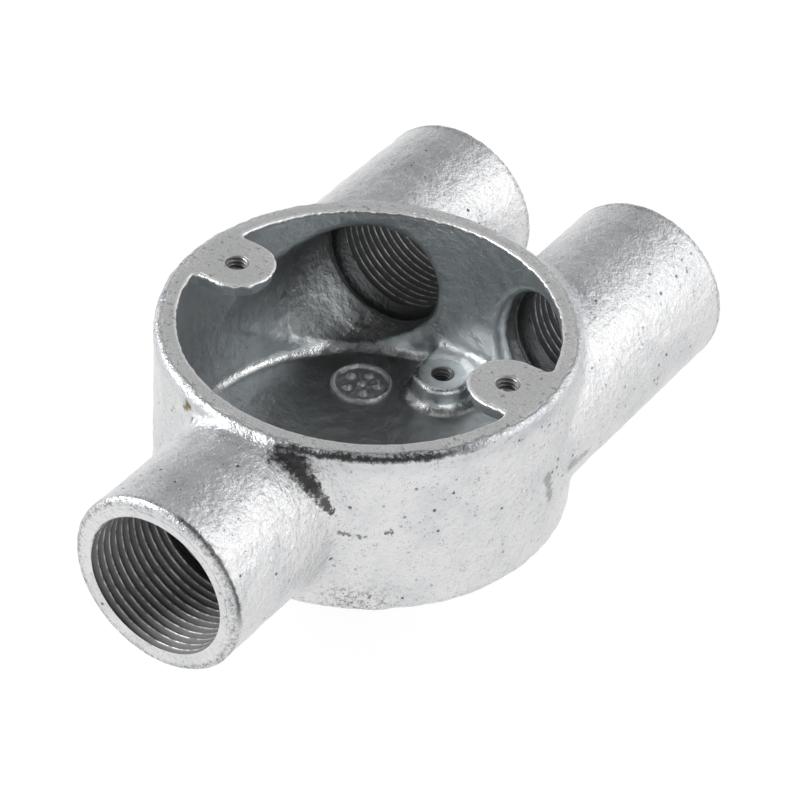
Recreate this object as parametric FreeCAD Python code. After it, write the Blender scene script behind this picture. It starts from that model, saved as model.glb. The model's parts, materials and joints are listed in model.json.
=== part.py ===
"""Round three-way Y conduit box: one malleable-iron casting for 25 mm screwed steel conduit.

A flat-based drum, open at the top, carries one spout towards -Y and two parallel spouts
towards +Y.  Every spout is tapped for conduit up to an internal bush.  Two lugs inside the
rim take the cover screws, and a boss on the floor takes the earth screw.
Millimetres.  Origin: the drum's axis on the base plane.  +Z is out of the open mouth.
"""
import FreeCAD, Part
import math
import os

V = FreeCAD.Vector
ORIGIN = V(0, 0, 0)
UP = V(0, 0, 1)
ACROSS = V(1, 0, 0)

# Spouts, tapped for conduit
CONDUIT_R = 12.5         # M25 x 1.5 thread, outside radius of the conduit
THREAD_LENGTH = 17.5     # end face to the bush
MOUTH_CHAMFER = 0.5      # lead-in at the end face
SPOUT_WALL = 2.5         # metal about the thread
SPOUT_GAP = 7.0          # clear space between the two parallel spouts
SPOUT_LIFT = 0.1         # underside of a spout above the base plane
END_ROUND = 1.1          # outside edge of the end face
ROOT_R = 3.0             # cast fillet between spout and drum
BUSH_STEP = 1.5          # shoulder that stops the conduit
BUSH_LENGTH = 4.0
BUSH_LIP = 0.6           # rounded inner edge that protects the cables
PASSAGE_LENGTH = 3.0     # chamber wall to the bush, on the drum's centre line
BELL_R = 2.0             # rounded edge where a passage enters the chamber

# Drum: the round wiring chamber
WALL_T = 3.0             # wall at the rim
RIM_STAND = 0.9          # machined rim above the spouts' tops
CHAMBER_DRAFT = 1.0      # degrees, the core narrows towards the floor
FLOOR_T = 2.5            # floor thickness
FLOOR_CORNER_R = 2.0     # inside corner between wall and floor
FOOT_ROUND = 2.0         # outside bottom edge
RIM_ROUND = 1.3          # outside top edge

# Cover lugs
COVER_CENTRES = 50.8     # spacing of the two cover screws
COVER_SCREW_R = 2.0      # M4 thread
LUG_R = 5.7              # rounded nose about the screw
LUG_T = 2.6              # thickness, top face flush with the rim
LUG_ROOT_R = 1.5         # fillet where a lug runs into the wall

# Earth terminal boss, on the floor against the wall between the two parallel spouts
EARTH_SETBACK = 7.3      # screw to the chamber's wall at the rim
EARTH_SCREW_R = 2.0      # M4 thread
EARTH_DEPTH = 5.0        # depth of the blind hole
BOSS_R = 4.7             # radius at the top face
BOSS_H = 4.0             # height above the floor
BOSS_DRAFT = 4.0         # degrees
BOSS_FOOT_R = 1.5        # fillet between boss and floor

# Bare casting pad on the floor
PAD_X = -11.6
PAD_Y = 16.8
PAD_R = 5.3
PAD_H = 0.4              # height of the disc
PAD_RING_W = 0.8         # width of its raised border
PAD_RING_H = 0.8         # height of the border above the floor

# Modelling allowances
MARGIN = 1.0             # how far a cutting tool goes past the face it cuts
SINK = 0.06              # how far a blend's edge dips into the surface it meets
REACH_IN = 1.0           # how far a blend's core goes past the corner it covers
SPARE = 8.0              # extra drum above and below, trimmed off flat afterwards
LEDGE = 0.15             # root fillets are trimmed this far above the spouts' tops
BLEND_SECTIONS = 24      # sections round one spout
ROUND_STEPS = 3          # short flats that make up one rounding
FLUSH_ANGLE = 18.0       # degrees between two surfaces below which no blend is left

# Derived sizes and places
SPOUT_R = CONDUIT_R + SPOUT_WALL
SPOUT_Z = SPOUT_R + SPOUT_LIFT
SPOUT_TOP = SPOUT_Z + SPOUT_R
HALF_PITCH = SPOUT_R + SPOUT_GAP / 2
SPOUTS = ((0.0, -1), (-HALF_PITCH, 1), (HALF_PITCH, 1))
DRUM_R = HALF_PITCH + SPOUT_R       # outer sides of the parallel spouts are flush with the drum
DRUM_H = SPOUT_TOP + RIM_STAND
CHAMBER_R = DRUM_R - WALL_T
WALL_MIDDLE_R = DRUM_R - WALL_T / 2
BUSH_R = CONDUIT_R - BUSH_STEP
PASSAGE_R = BUSH_R + BUSH_LIP
PASSAGE_Y = CHAMBER_R + PASSAGE_LENGTH
BUSH_Y = PASSAGE_Y + BUSH_LENGTH
SPOUT_REACH = BUSH_Y + THREAD_LENGTH
LUG_X = COVER_CENTRES / 2
EARTH_Y = CHAMBER_R - EARTH_SETBACK
BOSS_TOP = FLOOR_T + BOSS_H
BELOW_FLOOR = FLOOR_T / 2           # where what stands on the floor is rooted


def corner_point(centre, radius, degrees):
    """Point on a circle in the (along, radius) plane of a turned profile."""
    angle = math.radians(degrees)
    return (centre[0] + radius * math.cos(angle), centre[1] + radius * math.sin(angle))


def rounding(centre, radius, first, last):
    """Points of a rounded corner, from one angle in degrees to the other."""
    turn = (last - first) / ROUND_STEPS
    return [corner_point(centre, radius, first + turn * step) for step in range(ROUND_STEPS + 1)]


def section_face(points, base, along, across):
    """Flat face with (distance along, distance across) corners."""
    corners = [base + along * point[0] + across * point[1] for point in points]
    return Part.Face(Part.makePolygon(corners + corners[:1]))


def turned(points, base, along, across):
    """Solid of revolution about the line from base along the given direction."""
    solid = section_face(points, base, along, across).revolve(base, along, 360)
    if solid.Volume < 0:
        solid.reverse()
    return solid


def slab(low, high):
    """Block between two heights, wider than the whole casting."""
    half = SPOUT_REACH + MARGIN
    return Part.makeBox(2 * half, 2 * half, high - low, V(-half, -half, low))


def blend_ring(x, side, drum_r, spout_r, ball_r):
    """Wedge-shaped ring in the corner between a drum and a spout through its wall.

    A ball rolls in the corner: its centre stays ball_r from both cylinders, and its arc
    between the two touching points is the fillet.  The arc dips SINK into both surfaces, so
    the ring fades out by itself where they become flush.
    """
    def section(turn):
        off_spout = V(math.sin(turn), 0, math.cos(turn))
        centre_x = x + (spout_r + ball_r - SINK) * off_spout.x
        centre_z = SPOUT_Z + (spout_r + ball_r - SINK) * off_spout.z
        room = (drum_r + ball_r - SINK) ** 2 - centre_x ** 2
        if room <= 0:
            return None
        centre = V(centre_x, side * math.sqrt(room), centre_z)
        off_drum = V(centre.x, centre.y, 0).normalize()
        spread = off_spout.getAngle(off_drum)
        if math.degrees(spread) < FLUSH_ANGLE:
            return None
        corners = []
        for step in range(ROUND_STEPS + 1):
            angle = spread * step / ROUND_STEPS
            off = off_spout * math.sin(spread - angle) + off_drum * math.sin(angle)
            corners.append(centre - off * (ball_r / math.sin(spread)))
        corners.append(centre - (off_spout + off_drum) * (ball_r + REACH_IN))
        return Part.makePolygon(corners + corners[:1])

    turns = [2 * math.pi * index / BLEND_SECTIONS for index in range(BLEND_SECTIONS)]
    sections = [section(turn) for turn in turns]
    closed = all(sections)
    if not closed:
        first = next(i for i, wire in enumerate(sections) if wire and not sections[i - 1])
        sections = sections[first:] + sections[:first]
        sections = [wire for wire in sections if wire]
    ring = Part.makeLoft(sections, True, False, closed)
    if ring.Volume < 0:
        ring.reverse()
    return ring


def spout_blank(x, side):
    """Plain spout from the drum's middle to its end face, with the outer end edge rounded."""
    round_centre = (SPOUT_REACH - END_ROUND, SPOUT_R - END_ROUND)
    profile = [(0, 0), (0, SPOUT_R), *rounding(round_centre, END_ROUND, 90, 0), (SPOUT_REACH, 0)]
    return turned(profile, V(x, 0, SPOUT_Z), V(0, side, 0), UP)


def rim_trim():
    """Turned tool that rounds the rim's outer edge and keeps the root fillets below it."""
    top = DRUM_H + MARGIN
    edge = DRUM_R - RIM_ROUND
    outside = DRUM_R + 2 * ROOT_R
    ledge = SPOUT_TOP + LEDGE
    profile = [
        (top, edge),
        (top, outside),
        (ledge, outside),
        (ledge, DRUM_R),
        *rounding((DRUM_H - RIM_ROUND, edge), RIM_ROUND, 90, 0),
    ]
    return turned(profile, ORIGIN, UP, ACROSS)


def foot_trim():
    """Turned tool that rounds the drum's bottom edge, left out below the spouts."""
    edge = DRUM_R - FOOT_ROUND
    outside = DRUM_R + MARGIN
    profile = [
        (-MARGIN, edge),
        *rounding((FOOT_ROUND, edge), FOOT_ROUND, 180, 90),
        (FOOT_ROUND, outside),
        (-MARGIN, outside),
    ]
    tool = turned(profile, ORIGIN, UP, ACROSS)
    half = math.sqrt(SPOUT_R ** 2 - (SPOUT_Z - FOOT_ROUND) ** 2) + MARGIN
    length = outside + MARGIN
    for x, side in SPOUTS:
        corner = V(x - half, min(0, side * length), -2 * MARGIN)
        tool = tool.cut(Part.makeBox(2 * half, length, FOOT_ROUND + 3 * MARGIN, corner))
    return tool


def outer_casting():
    """Drum and spouts as one solid lump, blended together, trimmed to rim and base."""
    lump = Part.makeCylinder(DRUM_R, DRUM_H + 2 * SPARE, V(0, 0, -SPARE))
    for x, side in SPOUTS:
        lump = lump.fuse(spout_blank(x, side))
    for x, side in SPOUTS:
        lump = lump.fuse(blend_ring(x, side, DRUM_R, SPOUT_R, ROOT_R))
    return lump.common(slab(0, DRUM_H)).cut(rim_trim()).cut(foot_trim())


def chamber_wall_r(z):
    """Inside radius of the drafted chamber at height z."""
    return CHAMBER_R - (DRUM_H - z) * math.tan(math.radians(CHAMBER_DRAFT))


def chamber_core():
    """Tapered round core of the wiring chamber, with its rounded floor corner."""
    draft = math.radians(CHAMBER_DRAFT)
    top = DRUM_H + MARGIN
    centre_z = FLOOR_T + FLOOR_CORNER_R
    touch_r = chamber_wall_r(centre_z - FLOOR_CORNER_R * math.sin(draft))
    centre = (centre_z, touch_r - FLOOR_CORNER_R * math.cos(draft))
    profile = [
        (top, 0),
        (top, chamber_wall_r(top)),
        *rounding(centre, FLOOR_CORNER_R, 90 + CHAMBER_DRAFT, 180),
        (FLOOR_T, 0),
    ]
    return turned(profile, ORIGIN, UP, ACROSS)


def spout_core(x, side):
    """Hollow of one spout: passage, rounded bush, conduit thread and lead-in chamfer."""
    beyond = SPOUT_REACH + MARGIN
    wide = CONDUIT_R + MOUTH_CHAMFER
    profile = [
        (0, 0),
        (0, PASSAGE_R),
        *rounding((PASSAGE_Y + BUSH_LIP, PASSAGE_R), BUSH_LIP, 180, 270),
        (BUSH_Y, BUSH_R),
        (BUSH_Y, CONDUIT_R),
        (SPOUT_REACH - MOUTH_CHAMFER, CONDUIT_R),
        (SPOUT_REACH, wide),
        (beyond, wide),
        (beyond, 0),
    ]
    return turned(profile, V(x, 0, SPOUT_Z), V(0, side, 0), UP)


def passage_bell(x, side):
    """Ring removed from the edge where a passage enters the chamber, down to the floor."""
    ring = blend_ring(x, side, chamber_wall_r(SPOUT_Z), PASSAGE_R, BELL_R)
    return ring.common(slab(FLOOR_T, DRUM_H))


def cover_lug(side):
    """Tongue inside the rim with a round nose about its screw and filleted roots."""
    wall = chamber_wall_r(DRUM_H - LUG_T / 2)
    half = LUG_R + LUG_ROOT_R
    centre = V(math.sqrt((wall - LUG_ROOT_R) ** 2 - half ** 2), half, 0)
    on_side = V(centre.x, LUG_R, 0)
    on_wall = centre * (wall / (wall - LUG_ROOT_R))
    middle = centre + (on_side + on_wall - centre * 2).normalize() * LUG_ROOT_R
    behind = centre.normalize() * WALL_MIDDLE_R
    nose_side = V(LUG_X, LUG_R, 0)

    def flip(point):
        return V(point.x, -point.y, 0)

    edges = [
        Part.Arc(nose_side, V(LUG_X - LUG_R, 0, 0), flip(nose_side)).toShape(),
        Part.makeLine(flip(nose_side), flip(on_side)),
        Part.Arc(flip(on_side), flip(middle), flip(on_wall)).toShape(),
        Part.makeLine(flip(on_wall), flip(behind)),
        Part.Arc(flip(behind), ACROSS * WALL_MIDDLE_R, behind).toShape(),
        Part.makeLine(behind, on_wall),
        Part.Arc(on_wall, middle, on_side).toShape(),
        Part.makeLine(on_side, nose_side),
    ]
    lug = Part.Face(Part.Wire(edges)).extrude(UP * LUG_T)
    lug.translate(UP * (DRUM_H - LUG_T))
    if side < 0:
        lug.rotate(ORIGIN, UP, 180)
    return lug


def boss_outline():
    """Half section of the earth boss: flat top, drafted side and flared foot."""
    lean = math.radians(BOSS_DRAFT)
    centre_z = FLOOR_T + BOSS_FOOT_R
    rise = BOSS_TOP - centre_z + BOSS_FOOT_R * math.sin(lean)
    centre_r = BOSS_R + rise * math.tan(lean) + BOSS_FOOT_R * math.cos(lean)
    return [
        (BOSS_TOP, 0),
        (BOSS_TOP, BOSS_R),
        *rounding((centre_z, centre_r), BOSS_FOOT_R, 270 - BOSS_DRAFT, 180),
        (BELOW_FLOOR, centre_r),
        (BELOW_FLOOR, 0),
    ]


def earth_boss():
    """Boss with a round nose towards the drum axis, carried back into the chamber wall."""
    outline = boss_outline()
    axis = V(0, EARTH_Y, 0)
    boss = turned(outline, axis, UP, ACROSS)
    for side in (-1, 1):
        half = section_face(outline, axis, UP, ACROSS * side)
        boss = boss.fuse(half.extrude(V(0, WALL_MIDDLE_R - EARTH_Y, 0)))
    return boss.common(Part.makeCylinder(WALL_MIDDLE_R, DRUM_H))


def casting_pad():
    """Bare round pad with a raised border on the floor."""
    border = FLOOR_T + PAD_RING_H
    face = FLOOR_T + PAD_H
    inner = PAD_R - PAD_RING_W
    profile = [
        (BELOW_FLOOR, 0),
        (face, 0),
        (face, inner),
        (border, inner),
        (border, PAD_R),
        (BELOW_FLOOR, PAD_R),
    ]
    return turned(profile, V(PAD_X, PAD_Y, 0), UP, ACROSS)


def cover_hole(side):
    """Cutting tool for the screw hole through one lug."""
    start = V(side * LUG_X, 0, DRUM_H - LUG_T - MARGIN)
    return Part.makeCylinder(COVER_SCREW_R, LUG_T + 2 * MARGIN, start)


def earth_hole():
    """Cutting tool for the blind screw hole in the earth boss."""
    start = V(0, EARTH_Y, BOSS_TOP - EARTH_DEPTH)
    return Part.makeCylinder(EARTH_SCREW_R, EARTH_DEPTH + MARGIN, start)


def conduit_body():
    """The finished casting."""
    body = outer_casting().cut(chamber_core())
    for x, side in SPOUTS:
        body = body.cut(spout_core(x, side)).cut(passage_bell(x, side))
    for side in (-1, 1):
        body = body.fuse(cover_lug(side)).cut(cover_hole(side))
    body = body.fuse(earth_boss()).fuse(casting_pad())
    return body.cut(earth_hole()).removeSplitter()


if __name__ == "__main__":
    os.makedirs("parts", exist_ok=True)
    casting = conduit_body()
    solid = casting.Solids[0]
    print("solids", len(casting.Solids), "valid", casting.isValid(), "volume", round(casting.Volume, 1))
    print("bounds", casting.BoundBox)
    solid.exportStep("parts/conduit_body.step")
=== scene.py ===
"""Looks of a round three-way conduit box: one galvanised malleable-iron casting.

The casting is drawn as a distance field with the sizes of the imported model, so its walls,
rounded roots, bell mouths and lumpy cast skin are one closed surface.  The cut threads, the
screw threads, the zinc bead on the rim and the raised pad on the floor are finer pieces in it.
Lengths are worked out in millimetres and turned into metres when a mesh is made.
"""

import functools
import json
import logging
import math
import operator
from dataclasses import dataclass
from enum import Enum
from typing import Any, Callable, Iterable, Sequence, Union

import bpy
import numpy as np
from mathutils import Matrix, Vector


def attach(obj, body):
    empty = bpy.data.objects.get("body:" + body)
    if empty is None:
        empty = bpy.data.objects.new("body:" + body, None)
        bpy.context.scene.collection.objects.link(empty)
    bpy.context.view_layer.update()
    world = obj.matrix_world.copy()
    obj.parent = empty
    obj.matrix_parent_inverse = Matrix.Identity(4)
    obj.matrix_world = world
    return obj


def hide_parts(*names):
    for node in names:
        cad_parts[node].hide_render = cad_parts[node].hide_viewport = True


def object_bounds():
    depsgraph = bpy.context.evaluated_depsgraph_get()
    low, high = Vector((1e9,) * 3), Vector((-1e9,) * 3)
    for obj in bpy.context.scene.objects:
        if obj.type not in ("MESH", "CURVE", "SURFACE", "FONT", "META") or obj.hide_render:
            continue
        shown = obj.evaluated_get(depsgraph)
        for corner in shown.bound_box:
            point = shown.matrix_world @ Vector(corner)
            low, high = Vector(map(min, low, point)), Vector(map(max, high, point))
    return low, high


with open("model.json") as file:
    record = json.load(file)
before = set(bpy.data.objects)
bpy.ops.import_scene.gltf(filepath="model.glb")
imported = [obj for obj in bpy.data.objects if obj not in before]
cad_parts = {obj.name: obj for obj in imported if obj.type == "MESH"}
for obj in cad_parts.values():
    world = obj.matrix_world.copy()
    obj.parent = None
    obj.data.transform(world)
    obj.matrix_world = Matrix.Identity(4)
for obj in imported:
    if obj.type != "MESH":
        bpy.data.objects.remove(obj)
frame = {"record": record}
CAD_BOX = [list(map(float, corner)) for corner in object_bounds()]
RECORD = frame["record"]
LOG = logging.getLogger("conduit_box")

MM = 0.001
BODY = "root"
NODE = "conduit_body"
TINY = 1e-6             # keeps a length above zero where it divides

Array = np.ndarray
Socket = bpy.types.NodeSocket
Material = bpy.types.Material
Triple = tuple[float, float, float]
Pair = tuple[float, float]


# ---- shader helpers


def maths(operation: str) -> Callable[["Signal", "Number"], "Signal"]:
    """An operator between a signal and another value, which adds a Math node."""
    return lambda signal, other: signal.graph.math(operation, signal, other)


@dataclass(frozen=True, eq=False)
class Signal:
    """A shader value that can be used in a Python expression; `|` is the larger of two masks.

    Attributes:
        graph: the node graph that it belongs to.
        socket: its output socket.
    """

    graph: "Graph"
    socket: Socket

    __add__ = __radd__ = maths("ADD")
    __sub__ = maths("SUBTRACT")
    __mul__ = maths("MULTIPLY")
    __truediv__ = maths("DIVIDE")
    __or__ = maths("MAXIMUM")

    def __rsub__(self, other: "Number") -> "Signal":
        """Difference with the value on the right."""
        return self.graph.math("SUBTRACT", other, self)

    def __abs__(self) -> "Signal":
        """Size without sign."""
        return self.graph.math("ABSOLUTE", self)


Number = Union[Signal, float]


def largest(masks: Iterable[Signal]) -> Signal:
    """The largest of several masks."""
    return functools.reduce(operator.or_, masks)


class Graph:
    """Builds one material's or one world's node tree."""

    def __init__(self, tree: bpy.types.NodeTree) -> None:
        """Empty the tree.

        Args:
            tree: the node tree to fill.
        """
        self.tree = tree
        tree.nodes.clear()

    def node(self, kind: str, settings: dict[str, Any] | None = None, **sockets: Any) -> bpy.types.Node:
        """Add a node.

        Args:
            kind: the node's type.
            settings: the node's own settings, set first.
            sockets: values or links by socket name, with _ for a space, or in0, in1 by number.

        Returns:
            The new node.
        """
        made = self.tree.nodes.new(kind)
        for name, value in (settings or {}).items():
            setattr(made, name, value)
        for name, value in sockets.items():
            numbered = name.startswith("in") and name[2:].isdigit()
            self._feed(made.inputs[int(name[2:]) if numbered else name.replace("_", " ")], value)
        return made

    def _feed(self, socket: Socket, value: Any) -> None:
        """Link a socket or set its value.

        Args:
            socket: the input socket.
            value: a link, a number, a vector or a colour without its alpha.
        """
        if isinstance(value, Signal):
            self.tree.links.new(value.socket, socket)
        elif isinstance(value, Socket):
            self.tree.links.new(value, socket)
        else:
            socket.default_value = (*value, 1.0) if socket.type == "RGBA" else value

    def math(self, operation: str, *values: Number, clamp: bool = False) -> Signal:
        """Add a Math node.

        Args:
            operation: the node's operation.
            values: its inputs in order.
            clamp: keep the result between 0 and 1.

        Returns:
            The result.
        """
        sockets = {f"in{index}": value for index, value in enumerate(values)}
        made = self.node("ShaderNodeMath", {"operation": operation, "use_clamp": clamp}, **sockets)
        return Signal(self, made.outputs[0])

    def length(self, first: Signal, second: Signal) -> Signal:
        """Length of the hypotenuse over two sides."""
        return self.math("SQRT", first * first + second * second)

    def vector(self, operation: str, **sockets: Any) -> Socket:
        """Add a Vector Math node whose result is a vector."""
        return self.node("ShaderNodeVectorMath", {"operation": operation}, **sockets).outputs["Vector"]

    def measure(self, operation: str, **sockets: Any) -> Signal:
        """Add a Vector Math node whose result is a number."""
        made = self.node("ShaderNodeVectorMath", {"operation": operation}, **sockets)
        return Signal(self, made.outputs["Value"])

    def point(self) -> Socket:
        """The shaded place in object space, in mm."""
        place = self.node("ShaderNodeTexCoord").outputs["Object"]
        return self.vector("SCALE", in0=place, Scale=1 / MM)

    def step(self, value: Number, zero: float, full: float) -> Signal:
        """Smooth step: 0 where the value is at the first mark and beyond, 1 at the second."""
        settings = {"interpolation_type": "SMOOTHSTEP", "clamp": True}
        made = self.node("ShaderNodeMapRange", settings, in0=value, in1=min(zero, full), in2=max(zero, full))
        result = Signal(self, made.outputs[0])
        return result if zero < full else 1.0 - result

    def where(self, *marks: tuple[Number, Pair]) -> Signal:
        """Product of a smooth step for each value, given with where it starts and is full."""
        return functools.reduce(operator.mul, [self.step(value, *edge) for value, edge in marks])

    def colour_mix(self, factor: Number, first: Any, second: Any) -> Socket:
        """Mix two colours or links; the factor is the share of the second."""
        return self.node("ShaderNodeMix", {"data_type": "RGBA"}, in0=factor, in6=first, in7=second).outputs[2]

    def noise(self, place: Any, scale: float, detail: float, rough: float) -> Signal:
        """Noise from 0 to 1, by its cells per mm, octaves and share of the finer octaves."""
        made = self.node("ShaderNodeTexNoise", Vector=place, Scale=scale, Detail=detail, Roughness=rough)
        return Signal(self, made.outputs[0])

    def cells(self, place: Any, scale: float) -> Signal:
        """Distance to the nearest of scattered points, in cells, with so many cells per unit."""
        made = self.node("ShaderNodeTexVoronoi", Vector=place, Scale=scale)
        return Signal(self, made.outputs["Distance"])

    def metal(
        self, colour: Socket, metallic: Number, rough: Number, relief: Signal, depth: float, share: float
    ) -> None:
        """Finish a material as a metal.

        Args:
            colour: its colour link.
            metallic: how metallic it is.
            rough: its roughness.
            relief: height of its fine relief.
            depth: metres for a relief of 1.
            share: how much of the relief shows.
        """
        bump = self.node("ShaderNodeBump", Strength=share, Distance=depth, Height=relief)
        shader = self.node(
            "ShaderNodeBsdfPrincipled",
            Base_Color=colour, Metallic=metallic, Roughness=rough, Normal=bump.outputs[0],
        )
        self.node("ShaderNodeOutputMaterial", Surface=shader.outputs[0])


def new_material(name: str) -> tuple[Material, Graph]:
    """An empty node material and its graph."""
    material = bpy.data.materials.new(name)
    material.use_nodes = True
    return material, Graph(material.node_tree)


# ---- mesh helpers


def new_object(
    name: str,
    points: Array,
    faces: Array,
    materials: Sequence[Material],
    sharp: float = 0.0,
    finish: Array | None = None,
) -> bpy.types.Object:
    """Make a mesh object at the origin.

    Args:
        name: the object's name.
        points: (n, 3) places in millimetres.
        faces: (m, 3) or (m, 4) indices.
        materials: its finishes.
        sharp: edges that turn by more than this many degrees are sharp; 0 for none.
        finish: for each face, the number of its finish.

    Returns:
        The object, linked to the scene.
    """
    mesh = bpy.data.meshes.new(name)
    sides = faces.shape[1]
    mesh.vertices.add(len(points))
    mesh.vertices.foreach_set("co", (points * MM).astype(np.float32).ravel())
    mesh.loops.add(faces.size)
    mesh.loops.foreach_set("vertex_index", faces.astype(np.int32).ravel())
    mesh.polygons.add(len(faces))
    mesh.polygons.foreach_set("loop_start", np.arange(0, faces.size, sides, dtype=np.int32))
    for material in materials:
        mesh.materials.append(material)
    if finish is not None:
        mesh.polygons.foreach_set("material_index", finish.astype(np.int32))
    mesh.update(calc_edges=True)
    mesh.validate()
    mesh.shade_smooth()
    if sharp:
        mesh.set_sharp_from_angle(angle=math.radians(sharp))
    made = bpy.data.objects.new(name, mesh)
    bpy.context.scene.collection.objects.link(made)
    return made


def dressed(made: bpy.types.Object) -> bpy.types.Object:
    """Put a piece on the casting's body."""
    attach(made, BODY)
    return made


def triangles(quads: Array) -> Array:
    """Two triangles for each four-cornered face."""
    return np.concatenate([quads[:, [0, 1, 2]], quads[:, [0, 2, 3]]])


def outward(points: Array, faces: Array) -> Array:
    """Turn a closed mesh's triangles outwards.

    The volume is a sixth of the sum over the triangles of a . (b x c), with a, b and c their
    corners; it is negative where they face inwards.

    Args:
        points: (n, 3) places.
        faces: (m, 3) triangles that all face the same way.

    Returns:
        The triangles, turned over where needed.
    """
    a, b, c = (points[faces[:, corner]] for corner in range(3))
    volume = np.einsum("ij,ij->i", a, np.cross(b, c)).sum()
    return faces if volume > 0 else faces[:, ::-1]


def weld(points: Array, faces: Array, grain: float = 1e-4) -> tuple[Array, Array, Array]:
    """Join points at the same place and drop the triangles that collapse.

    Args:
        points: (n, 3) places.
        faces: (m, 3) triangles.
        grain: places closer than this are one.

    Returns:
        The joined points, the triangles left, and for each old point its new number.
    """
    keys = np.round(points / grain).astype(np.int64)
    _, first, number = np.unique(keys, axis=0, return_index=True, return_inverse=True)
    number = number.ravel()
    faces = number[faces]
    keep = (faces != np.roll(faces, 1, axis=1)).all(axis=1)
    return points[first], faces[keep], number


def grid_faces(rows: int, columns: int, close_rows: bool = False, close_columns: bool = False) -> Array:
    """Four-cornered faces of a grid of points numbered row by row.

    Args:
        rows: number of rows.
        columns: number of columns.
        close_rows: join the last row to the first.
        close_columns: join the last column to the first.

    Returns:
        (m, 4) indices.
    """
    row = np.arange(rows if close_rows else rows - 1)[:, None]
    column = np.arange(columns if close_columns else columns - 1)[None, :]
    this_row, next_row = row * columns, (row + 1) % rows * columns
    next_column = (column + 1) % columns
    corners = [this_row + column, this_row + next_column, next_row + next_column, next_row + column]
    return np.stack([np.broadcast_to(c, (row.size, column.size)).ravel() for c in corners], axis=1)


SLOPES = 2048                                   # random slopes to choose from, a power of two
SCRAMBLE = (73856093, 19349663, 83492791)       # primes that mix a corner's numbers


def lumps(points: Array, period: float, seed: int) -> Array:
    """Smooth random relief.

    Each whole-numbered lattice corner has a random slope; the value at a point is the slopes'
    heights there, blended with the quintic fade of the point's place in its lattice cell.

    Args:
        points: (n, 3) places.
        period: lattice spacing.
        seed: chooses the pattern.

    Returns:
        (n,) values, about -0.7 to 0.7.
    """
    random = np.random.default_rng(seed)
    slopes = random.normal(size=(SLOPES, 3))
    slopes /= np.linalg.norm(slopes, axis=1, keepdims=True)
    place = points / period + random.uniform(50, 100, 3)
    cell = np.floor(place).astype(np.int64)
    part = place - cell
    fade = part ** 3 * (part * (part * 6 - 15) + 10)
    total = np.zeros(len(points))
    for corner in np.ndindex(2, 2, 2):
        key = np.bitwise_xor.reduce((cell + corner) * SCRAMBLE, axis=1) & (SLOPES - 1)
        height = np.einsum("ij,ij->i", slopes[key], part - corner)
        total += height * np.prod(np.where(corner, fade, 1 - fade), axis=1)
    return total


# ---- sizes


class Way(Enum):
    """The direction in which a spout points along the Y axis."""

    FRONT = -1
    REAR = 1


@dataclass(frozen=True)
class Spout:
    """One tapped spout, from its mount in the record.

    Attributes:
        name: the mount's name.
        x, z: the axis' distance from the middle and its height, mm.
        reach: drum axis to end face, mm.
        thread_r: outside radius of the thread, mm.
        way: where it points.
    """

    name: str
    x: float
    z: float
    reach: float
    thread_r: float
    way: Way


def read_spouts() -> list[Spout]:
    """The three conduit spouts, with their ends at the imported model's box.

    Returns:
        The spouts, in the record's order.
    """
    found = []
    for mount in RECORD["mounts"]:
        if mount["name"].startswith("conduit"):
            place = [value / MM for value in mount["pos_m"]]
            way = Way.REAR if mount["axis"][1] > 0 else Way.FRONT
            end = CAD_BOX[1][1] if way is Way.REAR else -CAD_BOX[0][1]
            found.append(Spout(mount["name"], place[0], place[2], end / MM, mount["dims"]["r_mm"], way))
    return found


# ---- finishes


# The zinc's noises, broad to grain: cells per mm, octaves, share of the finer octaves
NOISES = (0.13, 3.0, 0.55), (0.45, 2.0, 0.5), (1.15, 4.0, 0.62), (2.9, 3.0, 0.7)
PITS_PER_MM = 0.42

# What the noises are cut into: where each mark starts and where it is full
DULL = (0.42, 0.68)
SPECK, SPECK_FIELD = (0.6, 0.7), (0.38, 0.6)
PIT, PIT_FIELD = (0.16, 0.07), (0.44, 0.6)
DOT, DOT_FIELD = (0.585, 0.66), (0.44, 0.62)
EDGE_GRIME_AND_SHADE, FOOT_GRIME = (0.42, 0.6), (0.47, 0.58)
CLOUD = (0.35, 0.7)
POOL_AND_HIGHLIGHT_FIELD = (0.3, 0.5)
FRESH_CUT, CUT_SPECK = (0.44, 0.62), (0.58, 0.68)

STAIN_EDGE = (1.25, 0.45)       # in the stain's half widths

# Where on the casting a mask starts and where it is full, mm or degrees of bearing
CHAMBER_WALL, FLOOR_METAL = (32.1, 31.9), (1.0, 1.4)
PASSAGE_BORE, PASSAGE_START, PASSAGE_END = (13.1, 12.9), (1.0, 2.0), (53.0, 52.0)
BUSH_BORE, BUSH_START, PASSAGE_SHADE = (11.75, 11.5), (31.0, 33.0), (28.0, 33.4)
# The second pair is where the painted shade on the spouts' tops starts and is full
MILLED_FACE, TOP_SHADE = (30.84, 30.94), (26.0, 29.5)
# Painted shade on the chamber's floor: where it starts and is full by height, and fuller towards the back
DARK_FLOOR, DARK_BACK = (4.0, 2.8), (-30.0, 0.0)
RIM_BAND = (9.0, 13.0), (74.0, 50.0), (29.6, 30.25), (31.1, 30.6)
MOUTH_LINE_Y, MOUTH_LINE = 54.2, ((1.0, 5.0), (12.0, 19.0), (0.55, 0.15))
# Where the pooled zinc and its painted highlight lie: in the floor's corner and about the boss
CORNER_POOL_AND_HIGHLIGHT = (28.5, 29.2), (4.2, 3.3), (2.3, 2.7)
BOSS_FOOT, BOSS_EDGE = ((6.9, 6.1), (4.7, 5.0), (4.2, 3.3)), ((3.7, 4.2), (5.6, 5.2), (5.6, 5.9))
SPOUT_END = (53.3, 54.1), (13.5, 14.2)
FOOT_PATCH = (22.0, 28.0), (48.0, 36.0), (31.0, 32.2), (8.0, 2.5)

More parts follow.
